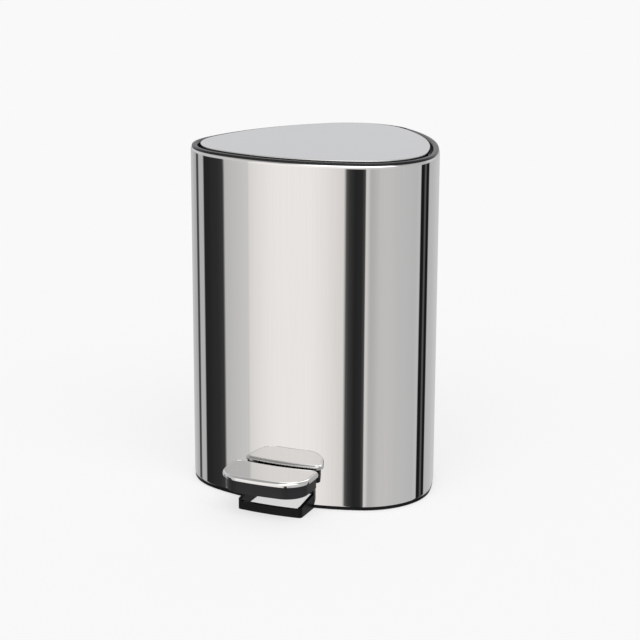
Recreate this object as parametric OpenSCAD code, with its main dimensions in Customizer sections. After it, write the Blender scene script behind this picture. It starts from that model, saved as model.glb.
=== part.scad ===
// Pedal trash can with a rounded triangular steel body, an inset lid and an inner bucket.
// Millimetres, +Z up. The origin is on the floor, under the middle of the whole object.
// The pedal is on the -Y side, the lid's hinge is at the rear corner on the +Y side.

/* [Body] */
// Radius of the three rounded corners of the plan outline
corner_r = 60; // [50:0.5:70]
// Radius of the three bowed sides of the plan outline
side_r = 196.5; // [185:0.5:215]
// Height of the steel shell's top edge above the floor
body_h = 291.2; // [280:0.1:330]
// Thickness of the steel sheet
sheet_t = 0.8; // [0.6:0.1:1]
// Height of the black base strip's top above the floor
strip_h = 3.6; // [3:0.1:5]

/* [Collar] */
// Height of the black rim above the steel
rim_h = 2; // [1.6:0.1:4]
// Width of the black rim, seen from above
rim_w = 6; // [5:0.1:6]

/* [Lid] */
// Gap between the rim and the lid
lid_gap = 2.3; // [1.8:0.1:2.5]
// Height of the lid's top above the rim
lid_proud = 1; // [0.6:0.1:1.6]
// How far the lid opens, in degrees
lid_open = 70; // [60:1:70]
// Length of the crank that the push rod turns
crank_r = 16.4; // [15:0.1:17]

/* [Pedal] */
// Half the width of the pedal
tread_w = 39.2; // [34:0.1:42]
// How far the pedal's top stands to the right of the middle
tread_x = -0.8; // [-2:0.1:2]
// How far the pedal's front edge stands out from the body
tread_out = 44.3; // [40:0.1:46]
// Gap between the pedal's rear edge and the body
tread_gap = 4.2; // [3:0.1:6]
// Height of the pedal's rear edge above the floor
tread_h = 36; // [34:0.5:38]
// How much the pedal falls towards its front edge, in degrees
tread_fall = 0; // [0:0.5:2]
// Length of the pedal lever's rear arm, from the axle to the push rod's pin
arm_l = 140; // [138:0.5:142]

/* [Floor frame] */
// Half the width of the open frame under the pedal
frame_w = 29; // [28:0.5:30]
// How far the frame stands to the right of the middle
frame_x = 1; // [-1:0.1:1]
// How far the frame stands out from the body
frame_out = 25.2; // [20:0.1:26]
// Height of the frame's two side arms at the body
frame_h = 12; // [10:0.1:12.4]
// Height of the frame's two side arms at the front
frame_tip_h = 8.4; // [7:0.1:9]
// Height of the frame's front bar
frame_bar_h = 7.5; // [6:0.1:8]
// Wall thickness of the frame
frame_t = 3; // [2:0.1:3.2]

/* [Bucket] */
// Wall thickness of the inner bucket
bucket_t = 2; // [1.6:0.1:2.4]
// Height of the bucket's underside above the floor
bucket_z = 42; // [42:1:60]

/* [Hidden] */
$fn = 48;
side_half = 20;
side_n = 12;
corner_n = 16;
flat_r = side_r - corner_r;
corner_dist = 2 * flat_r * sin(side_half) / sqrt(3);
side_off = flat_r * cos(side_half) - flat_r * sin(side_half) / sqrt(3);
front_y = side_off - side_r;
rear_y = corner_dist + corner_r;
mid_y = (tread_out - front_y - rear_y) / 2;

rim_top = body_h + rim_h;
lid_in = rim_w + lid_gap;
lid_top = rim_top + lid_proud;
skin_z = lid_top - sheet_t;
liner_z = skin_z - 3;
rib_z = liner_z - 3;
ledge_z = rim_top - 20.2;
ledge_t = 3;
seat_z = rim_top - 9.7;

hinge_y = 96;
hinge_z = lid_top - 5.8;
crank_y = hinge_y - crank_r * cos(lid_open / 2);
crank_z = hinge_z - crank_r * sin(lid_open / 2);
pin_r = 1.5;
ear_r = 3.9;
bush_r = 2.3;
crank_pin_r = 2;

axle_y = -54;
axle_z = 20;
axle_r = 2.5;
lift = 2 * crank_r * sin(lid_open / 2);
rod_y = crank_y - (crank_r - crank_r * cos(lid_open / 2)) / 2 + 0.2;
pedal_travel = 2 * asin(lift / 2 / arm_l);
lever_y = axle_y + arm_l * cos(pedal_travel / 2);
lever_z = axle_z - arm_l * sin(pedal_travel / 2);
rod_t = 3;
rod_w = 8;
floor_z = strip_h;
deck_z = 37;
deck_t = 2.5;
cut_x = frame_w + 0.2;

foot_at = [[-73.6, -42.5], [73.6, -42.5], [0, 85]];
post_at = [[-58, -20], [58, -20], [-38, 50], [38, 50]];
bracket_at = [[-22, 72], [22, 72], [-22, 81], [22, 81]];
pad_screw_at = [[-16, -114], [16, -114]];
duct_screw_x = 15.5;
duct_y = 74.5;
handle_z = 271.5;
bumper_in = 10.8;

steel = [0.78, 0.78, 0.77];
black = [0.08, 0.08, 0.09];
grey = [0.3, 0.3, 0.32];

// Points on an arc, from step i0 to step i1 of n
function arc(c, r, a0, a1, n, i0, i1) =
    [for (i = [i0:i1]) let (a = a0 + (a1 - a0) * i / n) [c[0] + r * cos(a), c[1] + r * sin(a)]];

// The body's plan outline, moved inwards by d
function outline(d) = [for (k = [0:2]) each concat(
    arc(side_off * [cos(90 + 120 * k), sin(90 + 120 * k)], side_r - d,
        120 * k - 90 - side_half, 120 * k - 90 + side_half, side_n, 0, side_n),
    arc(corner_dist * [cos(120 * k - 30), sin(120 * k - 30)], corner_r - d,
        120 * k - 90 + side_half, 120 * k + 30 - side_half, corner_n, 1, corner_n - 1))];

// Height of a corner centre below the front side's arc centre
function drop(w, r) = sqrt(r * r - w * w);

// Plan outline bounded by two arcs parallel to the front side, out and back from the body
function band(w, out, back, rf, rr) =
    let (ro = side_r + out, ri = side_r + back,
        cf = [w - rf, side_off - drop(w - rf, ro - rf)],
        cr = [w - rr, side_off - drop(w - rr, ri + rr)],
        af = -acos((w - rf) / (ro - rf)),
        ar = -acos((w - rr) / (ri + rr)))
    concat(arc([0, side_off], ro, -180 - af, af, 16, 0, 16),
        arc(cf, rf, af, 0, 8, 1, 8),
        arc(cr, rr, 0, 180 + ar, 8, 0, 8),
        arc([0, side_off], ri, ar, -180 - ar, 16, 1, 15),
        arc([-cr[0], cr[1]], rr, -ar, 180, 8, 0, 8),
        arc([-cf[0], cf[1]], rf, 180, 180 - af, 8, 0, 7));

// The parts are drawn about the centre of the body's plan outline
module centred() {
    translate([0, mid_y, 0]) children();
}

module slab(d, z0, z1) {
    translate([0, 0, z0]) linear_extrude(z1 - z0) polygon(outline(d));
}

module wall(d0, d1, z0, z1) {
    difference() {
        slab(d0, z0, z1);
        slab(d1, z0 - 1, z1 + 1);
    }
}

module block(x0, x1, y0, y1, z0, z1) {
    translate([x0, y0, z0]) cube([x1 - x0, y1 - y0, z1 - z0]);
}

module plate(w, out, back, rf, rr, z0, z1) {
    translate([0, 0, z0]) linear_extrude(z1 - z0) polygon(band(w, out, back, rf, rr));
}

module rod_x(r, x0, x1, y, z) {
    translate([x0, y, z]) rotate([0, 90, 0]) cylinder(h = x1 - x0, r = r);
}

module both_sides() {
    children();
    mirror([1, 0, 0]) children();
}

// A flat bar along a slope from one point to another, thick in X
module link(y0, z0, y1, z1, half_w, x0, x1) {
    len = norm([y1 - y0, z1 - z0]);
    translate([0, y0, z0]) rotate([atan2(z1 - z0, y1 - y0), 0, 0])
        block(x0, x1, 0, len, -half_w, half_w);
}

// Tips the pedal's top forward about its rear edge
module tread_pose() {
    translate([0, front_y - tread_gap, tread_h]) rotate([tread_fall, 0, 0])
        translate([0, tread_gap - front_y, -tread_h]) children();
}

// The open frame under the pedal, its arms falling towards the front bar
module floor_frame() {
    fall = atan2(frame_h - frame_tip_h, frame_out + 2);
    translate([frame_x, 0, 0]) difference() {
        plate(frame_w, frame_out, -35.2, 3, 1, 0.3, frame_h);
        plate(frame_w - frame_t, frame_out - frame_t, frame_t - 35.2, 1, 1, -1, frame_h + 1);
        block(0.4 + frame_t - frame_w, frame_w - 0.4 - frame_t, -130, -112, frame_bar_h, frame_h + 1);
        translate([0, front_y + 2, frame_h]) rotate([fall, 0, 0]) block(-40, 40, -40, 0, 0, 20);
    }
}

module base() {
    color(black) centred() difference() {
        union() {
            difference() {
                slab(0.4, 0.6, floor_z);
                translate([frame_x, 0, 0]) plate(frame_w - 1, frame_out, -35, 1, 1, -1, frame_h);
                for (p = foot_at) translate([p[0], p[1], -1]) cylinder(h = 2.6, r = 7.2);
            }
            difference() {
                wall(sheet_t + 0.1, sheet_t + 2.5, floor_z, 30);
                block(frame_x - cut_x, frame_x + cut_x, -110, -80, floor_z, 31);
            }
            floor_frame();
            both_sides() {
                block(38, 44, axle_y - 6, axle_y + 6, floor_z, axle_z);
                rod_x(7, 38, 44, axle_y, axle_z);
            }
        }
        both_sides() rod_x(4, 37, 45, axle_y, axle_z);
        for (p = post_at) translate([p[0], p[1], 0]) {
            cylinder(h = 10, r = 1.6);
            translate([0, 0, -1]) cylinder(h = 2.8, r = 3.4);
        }
    }
}

module foot_pads() {
    color(grey) centred() for (p = foot_at) translate([p[0], p[1], 0]) {
        cylinder(h = 0.4, r = 6.5);
        translate([0, 0, 0.4]) cylinder(h = 1.2, r = 7);
    }
}

module base_screws() {
    color(steel) centred() for (p = post_at) translate([p[0], p[1], 0.8]) {
        difference() {
            cylinder(h = 1, r = 3.2);
            translate([0, 0, -0.1]) cylinder(h = 0.6, r = 1.3, $fn = 6);
        }
        translate([0, 0, 1]) cylinder(h = 13, r = 1.5);
    }
}

module mechanism_deck() {
    color(black) centred() difference() {
        union() {
            slab(3.6, deck_z, deck_z + deck_t);
            wall(3.6, 5.6, 24, deck_z);
            for (p = post_at) translate([p[0], p[1], floor_z]) cylinder(h = deck_z - floor_z, r = 4.5);
            both_sides() block(duct_screw_x - 3.5, duct_screw_x + 3.5, 84.5, 91.5, deck_z - 3, deck_z);
        }
        block(-36, 36, -110, -80, 20, deck_z);
        block(-3, 3, 76, 95, deck_z - 1, deck_z + 5);
        for (p = post_at) translate([p[0], p[1], 0]) cylinder(h = 20, r = 1.5);
        both_sides() translate([duct_screw_x, 88, deck_z - 4]) cylinder(h = 8, r = 1.5);
    }
}

module axle_bushes() {
    color(grey) centred() both_sides() difference() {
        union() {
            rod_x(4, 38, 44, axle_y, axle_z);
            rod_x(5, 37, 38, axle_y, axle_z);
        }
        rod_x(axle_r + 0.05, 30, 50, axle_y, axle_z);
    }
}

module body_shell() {
    color(steel) centred() difference() {
        wall(0, sheet_t, strip_h, body_h);
        block(frame_x - cut_x, frame_x + cut_x, -110, -80, 0, 30.5);
    }
}

module hinge_ear() {
    block(14, 18, hinge_y - ear_r, hinge_y + ear_r, ledge_z, hinge_z);
    rod_x(ear_r, 14, 18, hinge_y, hinge_z);
}

module collar() {
    color(black) centred() difference() {
        union() {
            difference() {
                union() {
                    wall(0.5, rim_w, body_h, rim_top - 0.7);
                    wall(1.1, rim_w - 0.5, rim_top - 0.7, rim_top);
                    wall(sheet_t + 0.1, 3.1, body_h - 32, body_h);
                    wall(3.1, rim_w, ledge_z, body_h);
                    wall(3.1, 16, ledge_z, ledge_z + ledge_t);
                    wall(rim_w, 10.5, seat_z, seat_z + 2);
                }
                intersection() {
                    slab(2.6, rim_top - 3.2, rim_top + 1);
                    block(-37, 37, 86, 120, rim_top - 3.2, rim_top + 1);
                }
                intersection() {
                    slab(3.1, ledge_z + ledge_t, rim_top - 2);
                    block(-37, 37, 86, 120, ledge_z + ledge_t, rim_top - 2);
                }
            }
            block(-26, 26, 88, 104, ledge_z, ledge_z + ledge_t);
            both_sides() hinge_ear();
        }
        block(-9, 9, 66, 93.5, ledge_z - 1, ledge_z + ledge_t + 1);
        both_sides() rod_x(bush_r, 13, 19, hinge_y, hinge_z);
    }
}

module hinge_bushes() {
    color(grey) centred() both_sides() difference() {
        rod_x(bush_r, 14, 18, hinge_y, hinge_z);
        rod_x(pin_r + 0.04, 13, 19, hinge_y, hinge_z);
    }
}

module damper_body() {
    color(grey) centred() difference() {
        union() {
            rod_x(3.8, 18.4, 25, hinge_y, hinge_z);
            block(19.4, 24, hinge_y - 3, hinge_y + 3, ledge_z + ledge_t, hinge_z - 2);
        }
        rod_x(2.85, 19.6, 23.9, hinge_y, hinge_z);
        rod_x(pin_r + 0.05, 18, 20, hinge_y, hinge_z);
    }
}

module rod_duct() {
    top = ledge_z - 2;
    low = deck_z + deck_t;
    color(black) centred() difference() {
        union() {
            block(-11, 11, duct_y, duct_y + 2, low, top);
            both_sides() block(9, 11, duct_y + 2, 104, low, top);
            both_sides() block(10, 20, 80, 97, low, low + 2.5);
            for (z = [100, 200]) block(-9.5, 9.5, duct_y + 1, 97, z, z + 3);
        }
        for (z = [100, 200])
            block(-rod_t / 2 - 0.3, rod_t / 2 + 0.3, rod_y - 4.4, rod_y + 4.4, z - 1, z + 4);
        both_sides() translate([duct_screw_x, 88, low - 1]) cylinder(h = 6, r = 1.5);
    }
}

module duct_screws() {
    color(steel) centred() both_sides() translate([duct_screw_x, 88, deck_z - 2]) {
        cylinder(h = deck_t + 4.5, r = 1.5);
        translate([0, 0, deck_t + 4.5]) difference() {
            cylinder(h = 1.8, r = 2.8);
            translate([0, 0, 1]) cylinder(h = 2, r = 1.2, $fn = 6);
        }
    }
}

module pedal_lever() {
    color(grey) centred() difference() {
        union() {
            tread_pose() block(-24, 24, front_y - 33, axle_y + 2, 22.5, 26.5);
            rod_x(6, -32, 32, axle_y, axle_z);
            block(-23, 23, axle_y - 4.5, axle_y + 5, axle_z, axle_z + 8.6);
            link(axle_y, axle_z, lever_y, lever_z, 3, -6, 6);
            rod_x(4, -6, 6, lever_y, lever_z);
        }
        block(-2.4, 2.4, lever_y - 13, lever_y + 6, 0, 30);
        rod_x(axle_r, -33, 33, axle_y, axle_z);
        rod_x(crank_pin_r, -7, 7, lever_y, lever_z);
        tread_pose() for (p = pad_screw_at) translate([p[0], p[1], 20]) cylinder(h = 9, r = 1.6);
    }
}

module pedal_axle() {
    color(steel) centred() rod_x(axle_r, -47, 47, axle_y, axle_z);
}

module axle_clips() {
    color(steel) centred() both_sides() difference() {
        rod_x(4.6, 44.3, 45.1, axle_y, axle_z);
        rod_x(axle_r, 44, 46, axle_y, axle_z);
        block(44, 46, axle_y - 1.6, axle_y + 1.6, axle_z - 6, axle_z);
    }
}

module pedal_pad() {
    color(black) centred() tread_pose() difference() {
        translate([tread_x, 0, 0]) {
            plate(tread_w - 3, tread_out - 3, tread_gap, 19, 4, 21, tread_h - 3.6);
            plate(tread_w - 1.05, tread_out - 1.05, tread_gap + 1.05, 20.95, 5.95,
                tread_h - 3.6, tread_h - 1);
        }
        block(-24.1, 24.1, front_y - 33.1, front_y + 5, 22.4, 26.6);
        for (p = pad_screw_at) translate([p[0], p[1], 0]) {
            translate([0, 0, 10]) cylinder(h = 12.4, r = 3.2);
            translate([0, 0, 21]) cylinder(h = 12, r = 1.5);
        }
    }
}

module pad_screws() {
    color(steel) centred() tread_pose() for (p = pad_screw_at) translate([p[0], p[1], 20.9]) {
        difference() {
            cylinder(h = 1.5, r = 3);
            translate([0, 0, -0.1]) cylinder(h = 0.8, r = 1.2, $fn = 6);
        }
        translate([0, 0, 1.5]) cylinder(h = 9.4, r = 1.5);
    }
}

module pedal_cap() {
    color(steel) centred() tread_pose() translate([tread_x, 0, 0]) difference() {
        union() {
            plate(tread_w, tread_out, tread_gap, 22, 7, tread_h - 3.6, tread_h - 0.8);
            plate(tread_w - 0.7, tread_out - 0.7, tread_gap + 0.7, 21.3, 6.3, tread_h - 0.8, tread_h);
        }
        plate(tread_w - 1, tread_out - 1, tread_gap + 1, 21, 6, tread_h - 5, tread_h - 1);
    }
}

module lever_pin() {
    color(steel) centred() rod_x(crank_pin_r, -6.6, 6.6, lever_y, lever_z);
}

module push_rod() {
    color(steel) centred() difference() {
        union() {
            block(-rod_t / 2, rod_t / 2, rod_y - rod_w / 2, rod_y + rod_w / 2, lever_z, crank_z);
            block(-rod_t / 2, rod_t / 2, lever_y - 6.5, lever_y + 6.5, lever_z - 4.6, lever_z + 5);
            block(-rod_t / 2, rod_t / 2, rod_y - 7.2, rod_y + 7, crank_z - 6, crank_z + 5.5);
        }
        block(-2, 2, lever_y - 0.6, lever_y + 0.6, lever_z - 2, lever_z + 2);
        both_sides() for (s = [-0.6, 0.6]) rod_x(2.05, -2, 2, lever_y + s, lever_z);
        for (y = [crank_y, crank_y - crank_r + crank_r * cos(lid_open / 2)])
            rod_x(2.45, -2, 2, y, crank_z);
        block(-2, 2, crank_y - crank_r + crank_r * cos(lid_open / 2), crank_y,
            crank_z - 2.4, crank_z + 2.4);
    }
}

module lid_skin() {
    color(steel) centred() difference() {
        union() {
            slab(lid_in + 0.4, skin_z + 0.4, lid_top);
            slab(lid_in, skin_z, skin_z + 0.4);
            wall(lid_in, lid_in + sheet_t, skin_z - 2.2, skin_z);
        }
        block(-34, 34, 84, 110, skin_z - 5, skin_z - 1.2);
    }
}

module lid_liner() {
    color(black) centred() difference() {
        union() {
            slab(lid_in + sheet_t + 0.05, liner_z, skin_z);
            wall(lid_in + 1.3, lid_in + 4.1, rib_z, liner_z);
        }
        block(-34, 34, 84, 110, rib_z - 1, skin_z + 1);
        for (p = bracket_at) translate([p[0], p[1], liner_z - 1]) cylinder(h = 3, r = 1.5);
    }
}

module lid_bracket() {
    color(black) centred() difference() {
        union() {
            block(-30, 30, 66, 86, rib_z, liner_z);
            both_sides() {
                block(9.5, 13.4, 84, hinge_y, hinge_z - 3, hinge_z + 3);
                rod_x(ear_r, 9.5, 13.4, hinge_y, hinge_z);
                block(2.5, 5.6, 84, hinge_y, hinge_z - 3, hinge_z + 3);
                rod_x(ear_r, 2.5, 5.6, hinge_y, hinge_z);
                link(hinge_y, hinge_z, crank_y, crank_z, 3, 2.8, 5.3);
                rod_x(4, 2.5, 5.6, crank_y, crank_z);
            }
        }
        block(-2.4, 2.4, 74, 90, rib_z - 1, liner_z + 1);
        rod_x(pin_r, -20, 20, hinge_y, hinge_z);
        rod_x(crank_pin_r, -7, 7, crank_y, crank_z);
        for (p = bracket_at) translate([p[0], p[1], rib_z - 1]) cylinder(h = 6, r = 1.6);
    }
}

module bracket_screws() {
    color(steel) centred() for (p = bracket_at) translate([p[0], p[1], rib_z]) {
        cylinder(h = 4.8, r = 1.5);
        translate([0, 0, -1.6]) difference() {
            cylinder(h = 1.6, r = 2.8);
            translate([0, 0, -0.1]) cylinder(h = 0.9, r = 1.2, $fn = 6);
        }
    }
}

module hinge_pin() {
    color(steel) centred() rod_x(pin_r, -18.8, 23, hinge_y, hinge_z);
}

module crank_pin() {
    color(steel) centred() rod_x(crank_pin_r, -6.2, 6.2, crank_y, crank_z);
}

module damper_rotor() {
    color(grey) centred() difference() {
        rod_x(2.8, 20.2, 23.4, hinge_y, hinge_z);
        rod_x(pin_r, 20, 23, hinge_y, hinge_z);
    }
}

module lid_bumpers() {
    color(grey) centred() for (a = [-90, 30, 150]) rotate([0, 0, a])
        translate([-front_y - bumper_in, 0, seat_z + 2.2]) cylinder(h = rib_z - seat_z - 2.2, r = 1.8);
}

// The bucket's tapered body, cut flat behind at y_cut
module bucket_body(d, z0, z1, y_cut) {
    intersection() {
        translate([0, 0, z0]) linear_extrude(z1 - z0, scale = 1.05) polygon(outline(d));
        block(-120, 120, -120, y_cut, z0 - 1, z1 + 1);
    }
}

module bucket() {
    top = ledge_z + ledge_t;
    color(black) centred() difference() {
        union() {
            difference() {
                union() {
                    bucket_body(23.4, bucket_z, top + 1, 71);
                    intersection() {
                        slab(11.5, top, top + 2.4);
                        block(-120, 120, -120, 71, top, top + 3);
                    }
                }
                bucket_body(23.4 + bucket_t, bucket_z + 2.4, top + 5, 71 - bucket_t);
            }
            both_sides() rod_x(4.4, 79.6, 84, 0, handle_z);
            block(-8, 8, -74.6, -68, handle_z - 4.8, handle_z - 2.3);
        }
        both_sides() rod_x(2.25, 70, 90, 0, handle_z);
    }
}

module bucket_handle() {
    color(grey) centred() union() {
        intersection() {
            wall(22.8, 26.4, handle_z - 2, handle_z + 2);
            block(-100, 100, -100, 3.5, handle_z - 5, handle_z + 5);
        }
        both_sides() rod_x(2.2, 76, 83.6, 0, handle_z);
    }
}

base();
foot_pads();
base_screws();
mechanism_deck();
axle_bushes();
body_shell();
collar();
hinge_bushes();
damper_body();
rod_duct();
duct_screws();
pedal_lever();
pedal_axle();
axle_clips();
pedal_pad();
pad_screws();
pedal_cap();
lever_pin();
push_rod();
lid_skin();
lid_liner();
lid_bracket();
bracket_screws();
hinge_pin();
crank_pin();
damper_rotor();
lid_bumpers();
bucket();
bucket_handle();
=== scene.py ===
"""Looks for the pedal trash can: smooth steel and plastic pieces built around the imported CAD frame."""
import math

import bpy
from mathutils import Matrix, Vector


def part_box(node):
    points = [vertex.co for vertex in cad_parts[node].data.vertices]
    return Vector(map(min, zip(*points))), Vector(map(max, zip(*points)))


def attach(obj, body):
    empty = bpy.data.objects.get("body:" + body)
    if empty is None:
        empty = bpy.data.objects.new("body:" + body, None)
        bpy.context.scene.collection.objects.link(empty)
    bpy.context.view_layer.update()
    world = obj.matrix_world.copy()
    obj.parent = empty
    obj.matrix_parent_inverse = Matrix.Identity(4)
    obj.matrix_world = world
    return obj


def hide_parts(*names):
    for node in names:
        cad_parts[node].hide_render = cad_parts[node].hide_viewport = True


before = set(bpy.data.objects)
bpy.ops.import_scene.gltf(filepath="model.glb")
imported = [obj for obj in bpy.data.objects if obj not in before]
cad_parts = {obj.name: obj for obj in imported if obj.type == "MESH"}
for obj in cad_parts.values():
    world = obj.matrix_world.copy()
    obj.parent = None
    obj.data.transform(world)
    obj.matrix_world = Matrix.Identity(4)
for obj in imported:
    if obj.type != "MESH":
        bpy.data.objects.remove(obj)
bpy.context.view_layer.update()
MM = 0.001

# ---------------------------------------------------------------- plan outlines, in millimetres
CORNER_R, SIDE_R = 60.0, 196.5               # radii of the rounded corners and of the bowed sides
SIDE_HALF = 20.0                             # half the angle that each side's arc covers, in degrees
PER_ARC = 64                                 # points along each side and each corner
FLAT_R = SIDE_R - CORNER_R
CORNER_DIST = 2 * FLAT_R * math.sin(math.radians(SIDE_HALF)) / math.sqrt(3)
SIDE_OFF = FLAT_R * math.cos(math.radians(SIDE_HALF)) - CORNER_DIST / 2
FRONT_Y = SIDE_OFF - SIDE_R
shell_lo, shell_hi = (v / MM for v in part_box("body_shell"))
MID_Y = shell_lo.y - FRONT_Y                 # the outline's centre in the row frame
STRIP_Z, BODY_Z = shell_lo.z, shell_hi.z
RIM_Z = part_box("collar")[1].z / MM
LID_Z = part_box("lid_skin")[1].z / MM


def unit(deg):
    """The x and y of a direction, in degrees from +X."""
    return math.cos(math.radians(deg)), math.sin(math.radians(deg))


def stations():
    """Centre, radius and direction of each point round the body's outline."""
    out = []
    side_turn = 2 * SIDE_HALF
    corner_turn = 120 - side_turn
    for k in range(3):
        start = 120 * k - 90 - SIDE_HALF
        ux, uy = unit(120 * k + 90)
        for i in range(PER_ARC):
            a = start + side_turn * i / PER_ARC
            out.append((SIDE_OFF * ux, SIDE_OFF * uy, SIDE_R, *unit(a)))
        ux, uy = unit(120 * k - 30)
        for i in range(PER_ARC):
            a = start + side_turn + corner_turn * i / PER_ARC
            out.append((CORNER_DIST * ux, CORNER_DIST * uy, CORNER_R, *unit(a)))
    return out


NOTCH_X, NOTCH_Z = (-28.2, 30.2), 30.5       # sides and top of the shell's cut under the pedal


def notched_stations():
    """The outline's stations, with the two nearest the notch's sides moved onto them."""
    plan = stations()
    ends = []
    for x in NOTCH_X:
        a = -90 + math.degrees(math.asin(x / SIDE_R))
        i = min(range(PER_ARC), key=lambda j: abs(plan[j][2] * plan[j][3] - x))
        plan[i] = (*plan[i][:3], *unit(a))
        ends.append(i)
    return plan, ends


BODY_PLAN, NOTCH_ENDS = notched_stations()


def body_ring(d, z):
    """The outline moved inwards by d, a number or a function of the point, at height z."""
    ring = []
    for cx, cy, r, ux, uy in BODY_PLAN:
        inset = d(cx + r * ux, cy + r * uy) if callable(d) else d
        ring.append((cx + (r - inset) * ux, cy + (r - inset) * uy + MID_Y, z))
    return ring


def arc(cx, cy, r, a0, a1, n):
    """Points along an arc from angle a0 to a1, in radians."""
    return [(cx + r * math.cos(a), cy + r * math.sin(a))
            for a in (a0 + (a1 - a0) * i / n for i in range(n + 1))]


def band_plan(w, out, back, rf, rr, n_long=48, n_turn=16):
    """Plan between two arcs parallel to the body's front, standing out by back to out.

    w is half its width, and rf and rr are the radii of its front and rear corners.
    """
    ro, ri = SIDE_R + out, SIDE_R + back
    cfx, crx = w - rf, w - rr
    cfy = SIDE_OFF - math.sqrt((ro - rf) ** 2 - cfx ** 2)
    cry = SIDE_OFF - math.sqrt((ri + rr) ** 2 - crx ** 2)
    af = -math.acos(cfx / (ro - rf))
    ar = -math.acos(crx / (ri + rr))
    pi = math.pi
    pts = arc(0, SIDE_OFF, ro, -pi - af, af, n_long)
    pts += arc(cfx, cfy, rf, af, 0, n_turn)[1:]
    pts += arc(crx, cry, rr, 0, pi + ar, n_turn)
    pts += arc(0, SIDE_OFF, ri, ar, -pi - ar, n_long)[1:-1]
    pts += arc(-crx, cry, rr, -ar, pi, n_turn)
    pts += arc(-cfx, cfy, rf, pi, pi - af, n_turn)[:-1]
    return pts


def band_ring(w, out, back, rf, rr, d, z):
    """The same plan moved inwards by d, at height z."""
    plan = band_plan(w - d, out - d, back + d, max(rf - d, 0.3), max(rr - d, 0.3))
    return [(x, y + MID_Y, z) for x, y in plan]


# ---------------------------------------------------------------- sections
def rounded(points, steps=5, hold=0.35, closed=False):
    """A polyline of (d, z, radius) with its corners turned into arcs and a holding point beside each."""
    out, n = [], len(points)
    for i, (px, py, r) in enumerate(points):
        if r == 0 or (not closed and i in (0, n - 1)):
            out.append((px, py))
            continue
        (ax, ay, _), (bx, by, _) = points[i - 1], points[(i + 1) % n]
        ua, ub = (ax - px, ay - py), (bx - px, by - py)
        la, lb = math.hypot(*ua), math.hypot(*ub)
        ua, ub = (ua[0] / la, ua[1] / la), (ub[0] / lb, ub[1] / lb)
        half = math.acos(max(-1, min(1, ua[0] * ub[0] + ua[1] * ub[1]))) / 2
        t = r / math.tan(half)
        mx, my = ua[0] + ub[0], ua[1] + ub[1]
        lm = math.hypot(mx, my)
        cx, cy = px + mx / lm * r / math.sin(half), py + my / lm * r / math.sin(half)
        s = (px + ua[0] * t, py + ua[1] * t)
        e = (px + ub[0] * t, py + ub[1] * t)
        h = hold * r
        if t + h < la * 0.5:
            out.append((px + ua[0] * (t + h), py + ua[1] * (t + h)))
        a0 = math.atan2(s[1] - cy, s[0] - cx)
        a1 = math.atan2(e[1] - cy, e[0] - cx)
        turn = (a1 - a0 + math.pi) % (2 * math.pi) - math.pi
        for j in range(steps + 1):
            a = a0 + turn * j / steps
            out.append((cx + r * math.cos(a), cy + r * math.sin(a)))
        if t + h < lb * 0.5:
            out.append((px + ub[0] * (t + h), py + ub[1] * (t + h)))
    return out


# ---------------------------------------------------------------- meshes
def mesh_piece(name, verts, faces, material, body, sharp=38.0):
    """A shown piece from vertices in millimetres, smooth except along edges sharper than the angle."""
    mesh = bpy.data.meshes.new(name)
    mesh.from_pydata([(x * MM, y * MM, z * MM) for x, y, z in verts], [], faces)
    mesh.validate()
    mesh.polygons.foreach_set("use_smooth", [True] * len(mesh.polygons))
    mesh.set_sharp_from_angle(angle=math.radians(sharp))
    mesh.materials.append(material)
    obj = bpy.data.objects.new(name, mesh)
    bpy.context.scene.collection.objects.link(obj)
    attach(obj, body)
    return obj


def loft(rings, closed=False, cap_first=False, cap_last=False):
    """Vertices and faces of quads through rings of equal length; caps are single flat faces."""
    verts = [p for ring in rings for p in ring]
    n, m = len(rings[0]), len(rings)
    faces = []
    for j in range(m if closed else m - 1):
        a, b = j * n, (j + 1) % m * n
        for i in range(n):
            k = (i + 1) % n
            faces.append((a + i, a + k, b + k, b + i))
    if cap_first:
        faces.append(tuple(reversed(range(n))))
    if cap_last:
        faces.append(tuple(range((m - 1) * n, m * n)))
    return verts, faces


def merge(*parts):
    """Several (verts, faces) as one."""
    verts, faces = [], []
    for v, f in parts:
        base = len(verts)
        verts += v
        faces += [tuple(i + base for i in face) for face in f]
    return verts, faces


def both_sides(x0, x1):
    """A stretch of x on the left and its mirror image on the right."""
    return [(-x1, -x0), (x0, x1)]


def box_part(x0, x1, y0, y1, z0, z1, bevel=0.3):
    """A box with chamfered edges, y about the outline's centre."""
    b = bevel
    rings = []
    for z, d in ((z0, b), (z0 + b, 0), (z1 - b, 0), (z1, b)):
        xa, xb, ya, yb = x0 + d, x1 - d, y0 + d + MID_Y, y1 - d + MID_Y
        rings.append([(xa + b, ya, z), (xb - b, ya, z), (xb, ya + b, z), (xb, yb - b, z),
                      (xb - b, yb, z), (xa + b, yb, z), (xa, yb - b, z), (xa, ya + b, z)])
    return loft(rings, cap_first=True, cap_last=True)


def rod_part(r, x0, x1, y, z, n=32, bevel=0.25):
    """A cylinder along X with softened ends, y about the outline's centre."""
    rings = []
    for x, rr in ((x0, r - bevel), (x0 + bevel, r), (x1 - bevel, r), (x1, r - bevel)):
        rings.append([(x, y + MID_Y + rr * math.cos(2 * math.pi * i / n),
                       z + rr * math.sin(2 * math.pi * i / n)) for i in range(n)])
    return loft(rings, cap_first=True, cap_last=True)


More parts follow.
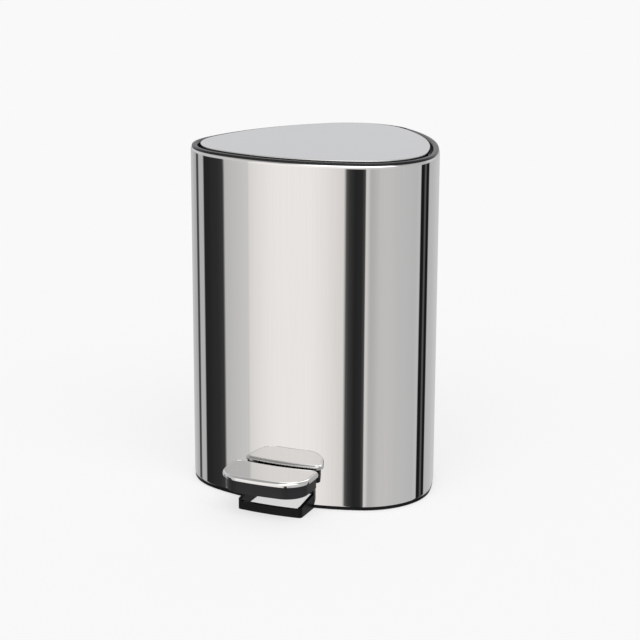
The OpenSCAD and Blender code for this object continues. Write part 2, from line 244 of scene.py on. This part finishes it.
# ---------------------------------------------------------------- materials
class Nodes:
    """A material and short calls for its nodes."""

    def __init__(self, name):
        self.mat = bpy.data.materials.new(name)
        self.mat.use_nodes = True
        self.tree = self.mat.node_tree
        self.shader = self.tree.nodes["Principled BSDF"]

    def node(self, kind, **values):
        n = self.tree.nodes.new(kind)
        for key, value in values.items():
            if key in n.inputs:
                n.inputs[key].default_value = value
            else:
                setattr(n, key, value)
        return n

    def link(self, a, b):
        self.tree.links.new(a, b)

    def coords(self, scale):
        coord = self.node("ShaderNodeTexCoord")
        mapping = self.node("ShaderNodeMapping")
        mapping.inputs["Scale"].default_value = scale
        self.link(coord.outputs["Object"], mapping.inputs["Vector"])
        return mapping.outputs["Vector"]

    def noise(self, scale, detail, rough=0.5):
        n = self.node("ShaderNodeTexNoise", Scale=1.0, Detail=detail, Roughness=rough)
        self.link(self.coords(scale), n.inputs["Vector"])
        return n.outputs["Fac"]

    def remap(self, value, lo, hi):
        """The usual span of a noise, stretched to lo..hi."""
        n = self.node("ShaderNodeMapRange")
        for key, v in (("From Min", 0.3), ("From Max", 0.7), ("To Min", lo), ("To Max", hi)):
            n.inputs[key].default_value = v
        self.link(value, n.inputs["Value"])
        return n.outputs["Result"]

    def mix_colour(self, fac, a, b):
        n = self.node("ShaderNodeMix", data_type="RGBA")
        n.inputs["A"].default_value = (*a, 1)
        n.inputs["B"].default_value = (*b, 1)
        self.link(fac, n.inputs["Factor"])
        self.link(n.outputs["Result"], self.shader.inputs["Base Color"])

    def bump(self, height, strength, distance):
        n = self.node("ShaderNodeBump", Strength=strength, Distance=distance)
        self.link(height, n.inputs["Height"])
        self.link(n.outputs["Normal"], self.shader.inputs["Normal"])


def steel(name, dark, light, rough, grain, bump, smudge=14.0):
    """Sheet steel with a fine grain, long where the grain's scale is small, and faint broad smudges."""
    m = Nodes(name)
    m.shader.inputs["Metallic"].default_value = 1.0
    fine = m.noise(grain, detail=4.0, rough=0.6)
    broad = m.noise((smudge, smudge, smudge), detail=3.0, rough=0.55)
    m.mix_colour(m.remap(fine, 0.0, 1.0), dark, light)
    mixed = m.node("ShaderNodeMath", operation="MULTIPLY")
    m.link(m.remap(fine, 0.92, 1.08), mixed.inputs[0])
    m.link(m.remap(broad, rough * 0.85, rough * 1.2), mixed.inputs[1])
    m.link(mixed.outputs["Value"], m.shader.inputs["Roughness"])
    m.bump(fine, bump, distance=0.0002)
    return m.mat


def plastic(name, dark, light, rough, grain=2200.0, bump=0.12, specular=0.5):
    """Moulded plastic or rubber: a fine sparked grain and a slight variation of tone and sheen."""
    m = Nodes(name)
    m.shader.inputs["Specular IOR Level"].default_value = specular
    fine = m.noise((grain, grain, grain), detail=2.0)
    broad = m.noise((18, 18, 18), detail=4.0, rough=0.6)
    m.mix_colour(m.remap(broad, 0.0, 1.0), dark, light)
    m.link(m.remap(broad, rough * 0.85, rough * 1.15), m.shader.inputs["Roughness"])
    m.bump(fine, bump, distance=0.0001)
    return m.mat


VERTICAL = (1500.0, 1500.0, 9.0)             # grain scales: fine across, long along one axis
ACROSS = (12.0, 1300.0, 1300.0)
SPANGLE = (300.0, 300.0, 300.0)
DRAWN = (700.0, 700.0, 40.0)
MATERIALS = {
    "shell": steel("polished_shell", (0.745, 0.742, 0.738), (0.775, 0.772, 0.768),
                   rough=0.02, grain=VERTICAL, bump=0.004),
    "lid": steel("polished_lid", (0.72, 0.72, 0.72), (0.745, 0.745, 0.745),
                 rough=0.15, grain=ACROSS, bump=0.012),
    "cap": steel("polished_cap", (0.74, 0.738, 0.735), (0.77, 0.768, 0.765),
                 rough=0.05, grain=ACROSS, bump=0.006),
    "zinc": steel("zinc_plate", (0.50, 0.50, 0.48), (0.66, 0.66, 0.64),
                  rough=0.30, grain=SPANGLE, bump=0.1, smudge=60.0),
    "rod": steel("galvanised_strip", (0.46, 0.47, 0.48), (0.60, 0.61, 0.62),
                 rough=0.34, grain=DRAWN, bump=0.1, smudge=60.0),
    "rim": plastic("black_rim", (0.004, 0.004, 0.0045), (0.007, 0.007, 0.0075),
                   rough=0.26, grain=2400.0, bump=0.04, specular=0.3),
    "black": plastic("black_moulding", (0.006, 0.006, 0.0065), (0.012, 0.012, 0.0125),
                     rough=0.42, bump=0.1, specular=0.35),
    "strip": plastic("floor_moulding", (0.004, 0.004, 0.0045), (0.008, 0.008, 0.0085),
                     rough=0.40, bump=0.08, specular=0.10),
    "bucket": plastic("bucket_moulding", (0.016, 0.016, 0.018), (0.026, 0.026, 0.028),
                      rough=0.42, grain=1500.0, bump=0.15),
    "grey": plastic("grey_moulding", (0.075, 0.077, 0.082), (0.10, 0.102, 0.108), rough=0.48),
    "skirt": plastic("pedal_skirt", (0.012, 0.012, 0.014), (0.020, 0.020, 0.022),
                     rough=0.40, bump=0.1, specular=0.22),
    "bush": plastic("bush_nylon", (0.50, 0.48, 0.43), (0.60, 0.58, 0.52),
                    rough=0.38, grain=1800.0, bump=0.05),
    "rubber": plastic("pad_rubber", (0.012, 0.012, 0.012), (0.022, 0.022, 0.022),
                      rough=0.75, grain=1400.0, bump=0.2, specular=0.3),
}

# ---------------------------------------------------------------- steel shell
SHEET_T = 0.8
BURR = 0.25                                  # rounding of the sheet's lower edge
LIP_H, LIP_TURN = 2.6, math.radians(38)      # the sheet's top edge rolls inwards
LIP_STEPS, WALL_STEPS = 14, 20


def shell_outline():
    """The sheet's section as (inset, height): up its outside, over the rolled lip, down its inside."""
    radius = LIP_H / math.sin(LIP_TURN)
    turns = [LIP_TURN * i / LIP_STEPS for i in range(LIP_STEPS + 1)]
    lip = [(radius * (1 - math.cos(a)), BODY_Z - LIP_H + radius * math.sin(a)) for a in turns]
    lip_d = lip[-1][0]
    low = [STRIP_Z + 0.9, STRIP_Z + 9, STRIP_Z + 18, NOTCH_Z]
    high = BODY_Z - LIP_H - NOTCH_Z
    points = [(SHEET_T, STRIP_Z), (BURR, STRIP_Z), (0.07, STRIP_Z + 0.07), (0, STRIP_Z + BURR)]
    points += [(0, z) for z in low]
    points += [(0, NOTCH_Z + high * i / WALL_STEPS) for i in range(1, WALL_STEPS)]
    points += lip
    points += [(lip_d + 0.1, BODY_Z - 0.1), (0.95, BODY_Z - 0.5), (SHEET_T, BODY_Z - 4)]
    points += [(SHEET_T, z) for z in reversed(low)]
    return points


def shell_piece():
    """The sheet, with the notch under the pedal left open and its cut edges closed."""
    section = shell_outline()
    rings = [body_ring(d, z) for d, z in section]
    n, m = len(rings[0]), len(rings)
    low = [z <= NOTCH_Z + 0.01 for d, z in section]
    i0, i1 = NOTCH_ENDS
    faces = []
    for j in range(m):
        k = (j + 1) % m
        for i in range(n):
            if i0 <= i < i1 and low[j] and low[k]:
                continue
            q = (i + 1) % n
            faces.append((j * n + i, j * n + q, k * n + q, k * n + i))
    j_out = max(j for j in range(m) if low[j] and section[j][0] == 0)
    j_in = min(j for j in range(m) if low[j] and j > j_out)
    for i in range(i0, i1):
        faces.append((j_out * n + i, j_in * n + i, j_in * n + i + 1, j_out * n + i + 1))
    cut = list(range(j_in, m)) + list(range(j_out + 1))
    faces.append(tuple(j * n + i0 for j in cut))
    faces.append(tuple(j * n + i1 for j in reversed(cut)))
    return [p for ring in rings for p in ring], faces


shell = mesh_piece("shell_sheet", *shell_piece(), MATERIALS["shell"], "base_body")
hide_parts("body_shell")

# ---------------------------------------------------------------- collar
# insets from the body's outline
WALL_D, RIM_D, SEAT_D, LEDGE_D = 0.9, 6.0, 10.5, 16.0
SEAT_Z, SEAT_T = RIM_Z - 9.7, 2              # the flange that the lid's stops rest on
LEDGE_Z, LEDGE_T = RIM_Z - 20.2, 3           # the ledge that carries the bucket
FLANGE_Z = LEDGE_Z + LEDGE_T
COLLAR_LOW = RIM_Z - 34                      # the collar's lower edge
# the rim behind the lid's hinge is cut back over this half width, to these insets
RECESS_X, RECESS_FADE = 37.0, 0.8
RECESS_TOP_D, RECESS_EDGE_D, RECESS_D = 2.2, 2.6, 3.1
RECESS_SLOPE = 0.19                          # how its inset grows with the rim's own
RECESS_FROM_Y = 60.0                         # nothing in front of this is cut back
# the rim's rounded top: (inset, height over the steel), then (inset, height from the rim's top)
RIM_OUTER = ((0.96, -0.4), (0.86, -0.05), (0.84, 0.6), (0.9, 1.1), (1.1, 1.5), (1.45, 1.78), (1.95, 1.94))
RIM_INNER = ((2.5, 0), (3.9, 0), (4.6, -0.14), (5.15, -0.48), (5.55, -0.95), (5.85, -1.6), (RIM_D, -2.5))
RIM_FLAT_D = 3.9                             # where the rim's top starts to round down
HINGE_Y, HINGE_Z = 96.0, LID_Z - 5.8
EAR_R, EAR_X = 3.9, (14, 18)


def recess(full, thin):
    """Inset of the rim's inner wall: full all round, thin behind the lid's hinge."""
    def at(x, y):
        if y < RECESS_FROM_Y:
            return full
        inner_x = abs(x) * (1 - full / CORNER_R)
        t = min(1.0, max(0.0, (RECESS_X - inner_x) / RECESS_FADE))
        return full + (thin - full) * t
    return at


def collar_piece():
    """The rim, the wall with its two ledges, and the two ears of the lid's hinge."""
    top = [(d, BODY_Z + h) for d, h in RIM_OUTER] + [(d, RIM_Z + h) for d, h in RIM_INNER]
    rows = [(d, z, min(d, RECESS_TOP_D + max(0.0, d - RIM_FLAT_D) * RECESS_SLOPE)) for d, z in top]
    rows += [(RIM_D, RIM_Z - 3.2, RECESS_EDGE_D), (RIM_D, RIM_Z - 3.3, RECESS_D)]
    rows += [(RIM_D, SEAT_Z + SEAT_T, RECESS_D), (SEAT_D, SEAT_Z + SEAT_T, RECESS_D)]
    rows += [(SEAT_D, SEAT_Z, RECESS_D), (RIM_D, SEAT_Z, RECESS_D), (RIM_D, FLANGE_Z, RECESS_D)]
    rows += [(LEDGE_D, z, LEDGE_D) for z in (FLANGE_Z, LEDGE_Z)]
    rows += [(WALL_D, z, WALL_D) for z in (LEDGE_Z, COLLAR_LOW, BODY_Z - 0.1)]
    parts = [loft([body_ring(recess(d, thin), z) for d, z, thin in rows], closed=True)]
    for xa, xb in both_sides(*EAR_X):
        parts.append(box_part(xa, xb, HINGE_Y - EAR_R, HINGE_Y + EAR_R, LEDGE_Z + 2, HINGE_Z, 0.2))
        parts.append(rod_part(EAR_R, xa, xb, HINGE_Y, HINGE_Z))
    return merge(*parts)


collar = mesh_piece("rim_and_ledge", *collar_piece(), MATERIALS["rim"], "base_body")
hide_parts("collar")

# ---------------------------------------------------------------- lid
LID_D = 8.3                                  # the lid's edge, inset from the body's outline
LID_SIDE_H, LID_EDGE_R = 3.0, 0.65


def lid_piece():
    """The lid's sheet with its rounded edge and its folded side."""
    corners = [(LID_D + SHEET_T, LID_Z - LID_SIDE_H, 0.0), (LID_D, LID_Z - LID_SIDE_H, 0.2),
               (LID_D, LID_Z, LID_EDGE_R), (LID_D + 12, LID_Z, 0.0)]
    section = [(LID_D + SHEET_T, LID_Z - 0.9)] + rounded(corners, steps=6)
    return loft([body_ring(d, z) for d, z in section], cap_last=True)


lid = mesh_piece("lid_sheet", *lid_piece(), MATERIALS["lid"], "lid")
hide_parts("lid_skin")

# ---------------------------------------------------------------- pedal
# half width, front and rear edges' distances from the body, and radii of the front and rear corners
CAP = dict(w=39.2, out=44.3, back=4.2, rf=22.0, rr=7.0)
SKIRT = dict(w=36.2, out=41.3, back=4.2, rf=19.0, rr=4.0)
TREAD_H, TREAD_X = 36.0, -0.8                # height of the pedal's top and its step to the side
CAP_H, SKIRT_LOW = 3.6, 21.0                 # height of the cap's side, and the skirt's underside
BEVEL_W, BEVEL_H = 2.3, 2.7                  # the cap's rolled edge, seen from above and from the side
BEVEL_STEPS = 14
GROOVE = ((0.1, 0), (0.3, 0.35), (0.6, 0.35), (0.8, 0), (1.2, 0), (5.0, 0))     # (inset, depth)


def aside(part):
    """Moves a part of the pedal's top to the side, as in the CAD."""
    verts, faces = part
    return [(x + TREAD_X, y, z) for x, y, z in verts], faces


def cap_piece():
    """The pedal's steel top: a folded side, a rolled edge and a fine groove round the flat tread."""
    turns = [math.pi / 2 * (1 - i / BEVEL_STEPS) for i in range(BEVEL_STEPS + 1)]
    bottom = TREAD_H - CAP_H
    section = [(1.0, TREAD_H - 1.2), (1.0, bottom + 0.05), (0.9, bottom), (0.2, bottom)]
    section += [(0.05, bottom + 0.06), (0.0, bottom + 0.2), (0.0, bottom + 0.6)]
    section += [(BEVEL_W * (1 - math.sin(a)), TREAD_H - BEVEL_H * (1 - math.cos(a))) for a in turns]
    section += [(BEVEL_W + g, TREAD_H - h) for g, h in GROOVE]
    return aside(loft([band_ring(**CAP, d=d, z=z) for d, z in section], cap_last=True))


def skirt_piece():
    """The moulding under the steel top."""
    top = TREAD_H - CAP_H
    section = rounded([(6.0, SKIRT_LOW, 0.0), (0.0, SKIRT_LOW, 0.8), (0.0, top, 0.0), (2.0, top, 0.0)])
    rings = [band_ring(**SKIRT, d=d, z=z) for d, z in section]
    return aside(loft(rings, cap_first=True, cap_last=True))


cap = mesh_piece("pedal_tread", *cap_piece(), MATERIALS["cap"], "pedal")
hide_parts("pedal_cap")
skirt = mesh_piece("pedal_skirt_moulding", *skirt_piece(), MATERIALS["skirt"], "pedal")
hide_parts("pedal_pad")

# ---------------------------------------------------------------- inner bucket
BUCKET_Z, BUCKET_T, TAPER = 42.0, 2.0, 1.05  # underside, wall and how much wider it is at the top
BUCKET_D = 23.4                              # the wall's outside at the bottom, inset from the outline
BUCKET_CUT = 71.0                            # its flat rear, behind the outline's centre
CUT_IN = BUCKET_CUT - BUCKET_T
BRIM_T, BRIM_OUT_D, BRIM_IN_D = 2.4, 11.5, 21.0
BUCKET_STEPS = 12
PIVOT_Z, BOSS_R, BOSS_X = 271.5, 4.4, (79.7, 84)


def bucket_ring(d, z, y_cut, straight=False):
    """The tapered wall's outline at one height, cut flat behind."""
    k = 1.0 if straight else 1 + (TAPER - 1) * (z - BUCKET_Z) / (FLANGE_Z + 1 - BUCKET_Z)
    ring = body_ring(d, z)
    return [(x * k, min((y - MID_Y) * k, y_cut) + MID_Y, z) for x, y, z in ring]


def bucket_piece():
    """The bucket with its brim on the ledge, two pivot bosses and a rest for its handle."""
    steps = [i / BUCKET_STEPS for i in range(BUCKET_STEPS + 1)]
    rise, fall = FLANGE_Z - BUCKET_Z - 0.8, FLANGE_Z - BUCKET_Z - 3.2
    foot = [(24.4, BUCKET_Z, BUCKET_CUT - 0.8), (23.7, BUCKET_Z + 0.2, BUCKET_CUT - 0.2)]
    wall_out = [(BUCKET_D, BUCKET_Z + 0.8 + rise * t, BUCKET_CUT) for t in steps]
    brim = [(12.1, FLANGE_Z, BUCKET_CUT), (11.7, FLANGE_Z + 0.15, BUCKET_CUT),
            (BRIM_OUT_D, FLANGE_Z + 0.6, BUCKET_CUT), (BRIM_OUT_D, FLANGE_Z + 1.6, BUCKET_CUT),
            (11.75, FLANGE_Z + 2.15, BUCKET_CUT), (12.3, FLANGE_Z + BRIM_T, BUCKET_CUT - 0.2),
            (20.2, FLANGE_Z + BRIM_T, CUT_IN + 0.9), (BRIM_IN_D, FLANGE_Z + 2.2, CUT_IN + 0.3)]
    wall_in = [(BUCKET_D + BUCKET_T, FLANGE_Z + 1.6 - fall * t, CUT_IN) for t in steps]
    floor_in = [(25.8, BUCKET_Z + 2.6, CUT_IN - 0.4), (26.6, BUCKET_Z + 2.4, CUT_IN - 1.2)]
    rings = [bucket_ring(*row) for row in foot + wall_out]
    rings += [bucket_ring(*row, straight=True) for row in brim]
    rings += [bucket_ring(*row) for row in wall_in + floor_in]
    parts = [loft(rings, cap_first=True, cap_last=True)]
    for xa, xb in both_sides(*BOSS_X):
        parts.append(rod_part(BOSS_R, xa, xb, 0, PIVOT_Z))
    parts.append(box_part(-8, 8, -74.6, -68.5, PIVOT_Z - 4.8, PIVOT_Z - 2.3))
    return merge(*parts)


bucket = mesh_piece("inner_bucket", *bucket_piece(), MATERIALS["bucket"], "bucket")
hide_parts("bucket")

# ---------------------------------------------------------------- the bucket's handle
BAIL_OUT_D, BAIL_IN_D, BAIL_HALF_H = 22.8, 26.4, 2.0
BAIL_END_Y = 3.3                             # the loop ends just behind its pivots
PEG_R, PEG_X = 2.2, (76, 83.6)


def handle_piece():
    """A flat-sided loop following the bucket's front, with a pivot peg at each end."""
    n = len(BODY_PLAN)
    mid_d = (BAIL_OUT_D + BAIL_IN_D) / 2
    mid_y = [cy + (r - mid_d) * uy for cx, cy, r, ux, uy in BODY_PLAN]
    front = [i for i in range(n) if mid_y[i] < BAIL_END_Y]
    start = next(i for i in front if (i - 1) % n not in front)
    corners = [(BAIL_OUT_D, -BAIL_HALF_H, 0.5), (BAIL_OUT_D, BAIL_HALF_H, 0.5),
               (BAIL_IN_D, BAIL_HALF_H, 0.5), (BAIL_IN_D, -BAIL_HALF_H, 0.5)]
    section = rounded(corners, steps=4, closed=True)
    rings = []
    for i in range(start, start + len(front)):
        cx, cy, r, ux, uy = BODY_PLAN[i % n]
        rings.append([(cx + (r - d) * ux, cy + (r - d) * uy + MID_Y, PIVOT_Z + h) for d, h in section])
    parts = [loft(rings, cap_first=True, cap_last=True)]
    for xa, xb in both_sides(*PEG_X):
        parts.append(rod_part(PEG_R, xa, xb, 0, PIVOT_Z))
    return merge(*parts)


handle = mesh_piece("bucket_bail", *handle_piece(), MATERIALS["grey"], "handle")
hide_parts("bucket_handle")

# ---------------------------------------------------------------- carried-over CAD nodes
CARRIED = {
    "base": "strip", "foot_pads": "rubber", "base_screws": "zinc", "mechanism_deck": "black",
    "axle_bushes": "bush", "hinge_bushes": "bush", "damper_body": "grey", "rod_duct": "black",
    "duct_screws": "zinc", "pedal_lever": "grey", "pedal_axle": "zinc", "axle_clips": "zinc",
    "pad_screws": "zinc", "lever_pin": "zinc", "push_rod": "rod", "lid_liner": "black",
    "lid_bracket": "black", "bracket_screws": "zinc", "hinge_pin": "zinc", "crank_pin": "zinc",
    "damper_rotor": "grey", "lid_bumpers": "rubber",
}
for node, key in CARRIED.items():
    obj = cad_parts[node]
    obj.data.materials.clear()
    obj.data.materials.append(MATERIALS[key])

# ---------------------------------------------------------------- studio
# The light and dark panels round the can, as (azimuth in degrees, level, warmth)
PANELS_REAR = [
    (0, 0.625, 0), (12, 0.61, 0), (22, 0.595, 0), (29, 0.635, 0), (32, 0.60, 0), (33.4, 0.012, 0),
    (40.8, 0.012, 0), (43.0, 0.11, 0), (45.8, 0.11, 0), (47.7, 0.012, 0), (54.4, 0.012, 0),
    (56.6, 0.57, 0), (80, 0.60, 0), (100, 0.61, 0), (140, 0.60, 0), (152, 0.52, 0), (159.3, 0.50, 0),
    (162.3, 0.07, 0), (168.0, 0.07, 0), (171, 0.56, 0), (180, 0.56, 0),
]
PANELS_FRONT = [
    (180, 0.56, 0), (183.4, 0.55, 0), (186.4, 0.022, 0), (199, 0.024, 0), (208, 0.032, 0),
    (212.1, 0.05, 0), (213.1, 0.60, 0.2), (219, 0.655, 0.3), (227.9, 0.735, 0.3), (228.6, 0.865, 0.8),
    (232, 0.925, 1), (240, 1.02, 1), (246, 1.055, 1), (262, 1.055, 1), (269.5, 0.98, 1),
    (275.7, 0.89, 1), (279.5, 0.83, 1), (280.3, 0.12, 0.5), (282, 0.048, 0), (285, 0.022, 0),
    (289, 0.03, 0), (292.6, 0.075, 0.5), (293.7, 0.12, 0.5), (294.8, 0.77, 1), (297.5, 0.76, 1),
    (302, 0.555, 0.4), (307, 0.565, 0.4), (318, 0.665, 0.5), (332, 0.675, 0.5), (350, 0.635, 0.2),
    (360, 0.625, 0),
]
# The panels without the dark flags, seen from just below eye level upwards
MIDDLE_PANELS = [
    (0, 0.62, 0), (40, 0.56, 0), (150, 0.60, 0), (200, 0.66, 0), (227.8, 0.76, 0.3), (229, 1.02, 0.8),
    (240, 1.12, 1), (262, 1.15, 1), (280, 0.98, 0.8), (300, 0.80, 0.5), (345, 0.68, 0.3), (360, 0.62, 0),
]
# High up: a softbox over the front right
TOP_PANELS = [(0, 0.45, 0), (240, 0.45, 0), (262, 2.0, 0), (345, 2.0, 0), (356, 0.45, 0), (360, 0.45, 0)]
MIDDLE_EDGE = (-0.13, 0.02)                  # sine of the elevation where the dark flags end
TOP_EDGE = (0.48, 0.62)                      # and where the softbox starts
# The plain wall behind: its azimuth, level, and where it fades in by elevation and by direction
BACK_AZIMUTH, BACK_LEVEL = 113, (0.712, 0.718, 0.730)
BACK_RISE, BACK_SECTOR = (0.0, 0.05), (0.3, 0.6)


def cleared_tree(owner):
    """The owner's node tree with nothing in it."""
    owner.use_nodes = True
    owner.node_tree.nodes.clear()
    return owner.node_tree


def ramp_node(tree, fac, stops):
    """A colour ramp from the first stop's azimuth to the last one's."""
    ramp = tree.nodes.new("ShaderNodeValToRGB")
    while len(ramp.color_ramp.elements) < len(stops):
        ramp.color_ramp.elements.new(0.5)
    first, last = stops[0][0], stops[-1][0]
    for el, (deg, level, warm) in zip(ramp.color_ramp.elements, stops):
        el.position = (deg - first) / (last - first)
        el.color = (level, level * (1 - 0.03 * warm), level * (1 - 0.055 * warm), 1)
    tree.links.new(fac, ramp.inputs[0])
    return ramp.outputs["Color"]


def studio_world():
    """Upright light and dark panels round the can, a softbox above them, and a plain wall behind."""
    world = bpy.data.worlds.new("studio")
    bpy.context.scene.world = world
    tree = cleared_tree(world)
    new, link = tree.nodes.new, tree.links.new

    def math_node(op, a, b=None, c=None):
        n = new("ShaderNodeMath")
        n.operation = op
        for i, v in enumerate((a, b, c)):
            if v is None:
                continue
            if isinstance(v, (int, float)):
                n.inputs[i].default_value = v
            else:
                link(v, n.inputs[i])
        return n.outputs[0]

    def ramp_up(value, lo, hi):
        n = new("ShaderNodeMapRange")
        n.interpolation_type = "SMOOTHSTEP"
        n.inputs["From Min"].default_value = lo
        n.inputs["From Max"].default_value = hi
        link(value, n.inputs["Value"])
        return n.outputs["Result"]

    def mix(fac, a, b):
        n = new("ShaderNodeMix")
        n.data_type = "RGBA"
        link(fac, n.inputs["Factor"])
        for key, v in (("A", a), ("B", b)):
            if isinstance(v, tuple):
                n.inputs[key].default_value = (*v, 1)
            else:
                link(v, n.inputs[key])
        return n.outputs["Result"]

    out, bg = new("ShaderNodeOutputWorld"), new("ShaderNodeBackground")
    coord, sep = new("ShaderNodeTexCoord"), new("ShaderNodeSeparateXYZ")
    link(coord.outputs["Generated"], sep.inputs[0])
    turn = math_node("ARCTAN2", sep.outputs["Y"], sep.outputs["X"])
    turn = math_node("FRACT", math_node("MULTIPLY_ADD", turn, 1 / (2 * math.pi), 1.0))
    height = sep.outputs["Z"]
    rear = ramp_node(tree, math_node("MULTIPLY", turn, 2.0), PANELS_REAR)
    front = ramp_node(tree, math_node("MULTIPLY_ADD", turn, 2.0, -1.0), PANELS_FRONT)
    walls = mix(math_node("GREATER_THAN", turn, 0.5), rear, front)
    middle = ramp_node(tree, turn, MIDDLE_PANELS)
    above = ramp_node(tree, turn, TOP_PANELS)
    lit = mix(ramp_up(height, *TOP_EDGE), mix(ramp_up(height, *MIDDLE_EDGE), walls, middle), above)
    side = new("ShaderNodeVectorMath")
    side.operation = "DOT_PRODUCT"
    link(coord.outputs["Generated"], side.inputs[0])
    side.inputs[1].default_value = (*unit(BACK_AZIMUTH), 0)
    sector = ramp_up(side.outputs["Value"], *BACK_SECTOR)
    behind = math_node("MULTIPLY", ramp_up(height, *BACK_RISE), sector)
    link(mix(behind, lit, BACK_LEVEL), bg.inputs["Color"])
    link(bg.outputs[0], out.inputs["Surface"])


studio_world()

# ---------------------------------------------------------------- floor and backdrop, in metres
FLOOR_R, FLOOR_GLOW = 14.0, 0.65
BACKDROP_R, BACKDROP_Z, BACKDROP_GLOW = 13.5, (-6, 12), 0.947
STAGE_SIDES = 96


def stage_circle(radius, z):
    """A ring of points round the origin at height z."""
    turns = [2 * math.pi * i / STAGE_SIDES for i in range(STAGE_SIDES)]
    return [(radius * math.cos(a), radius * math.sin(a), z) for a in turns]


def stage_piece(name, verts, faces, material):
    """A piece of the studio, in metres, that is no part of the object."""
    mesh = bpy.data.meshes.new(name)
    mesh.from_pydata(verts, [], faces)
    mesh.materials.append(material)
    obj = bpy.data.objects.new(name, mesh)
    bpy.context.scene.collection.objects.link(obj)
    return obj


def floor_material():
    """A matt pale floor with a glow of its own, so that it stays even under the panels."""
    mat = bpy.data.materials.new("studio_floor")
    mat.use_nodes = True
    shader = mat.node_tree.nodes["Principled BSDF"]
    shader.inputs["Base Color"].default_value = (0.34, 0.34, 0.34, 1)
    shader.inputs["Roughness"].default_value = 0.9
    shader.inputs["Specular IOR Level"].default_value = 0.0
    shader.inputs["Emission Color"].default_value = (1, 1, 1, 1)
    shader.inputs["Emission Strength"].default_value = FLOOR_GLOW
    return mat


def backdrop_material():
    """Plain paper that gives off its own light."""
    mat = bpy.data.materials.new("backdrop_paper")
    tree = cleared_tree(mat)
    out = tree.nodes.new("ShaderNodeOutputMaterial")
    glow = tree.nodes.new("ShaderNodeEmission")
    glow.inputs["Color"].default_value = (1, 1, 1, 1)
    glow.inputs["Strength"].default_value = BACKDROP_GLOW
    tree.links.new(glow.outputs[0], out.inputs["Surface"])
    return mat


floor = stage_piece("floor", stage_circle(FLOOR_R, 0.0), [tuple(range(STAGE_SIDES))], floor_material())
floor.visible_glossy = False
verts, faces = loft([stage_circle(BACKDROP_R, z) for z in BACKDROP_Z])
backdrop = stage_piece("backdrop", verts, faces, backdrop_material())
for ray in ("diffuse", "glossy", "transmission", "volume_scatter", "shadow"):
    setattr(backdrop, "visible_" + ray, False)           # only the camera sees it

# ---------------------------------------------------------------- camera
YAW, PITCH, ROLL = 0.4024, 0.262, 0.004      # radians: to the left, downwards, and tilt
CAMERA_AT = (0.60341, -1.41503, 0.55306)
LENS, SENSOR = 103.97, 36.0


def camera_pose():
    """The camera's matrix from its place and its three turns."""
    cy, sy, cp, sp = math.cos(YAW), math.sin(YAW), math.cos(PITCH), math.sin(PITCH)
    cr, sr = math.cos(ROLL), math.sin(ROLL)
    forward = Vector((-sy * cp, cy * cp, -sp))
    level = Vector((cy, sy, 0.0))
    upright = level.cross(forward)
    right = level * cr + upright * sr
    up = upright * cr - level * sr
    turn = Matrix((right, up, -forward)).transposed().to_4x4()
    return Matrix.Translation(CAMERA_AT) @ turn


cam_data = bpy.data.cameras.new("camera")
cam_data.lens, cam_data.sensor_width = LENS, SENSOR
cam_data.clip_end = 60.0
cam = bpy.data.objects.new("camera", cam_data)
bpy.context.scene.collection.objects.link(cam)
cam.matrix_world = camera_pose()
bpy.context.scene.camera = cam
bpy.context.scene.view_settings.view_transform = "Standard"
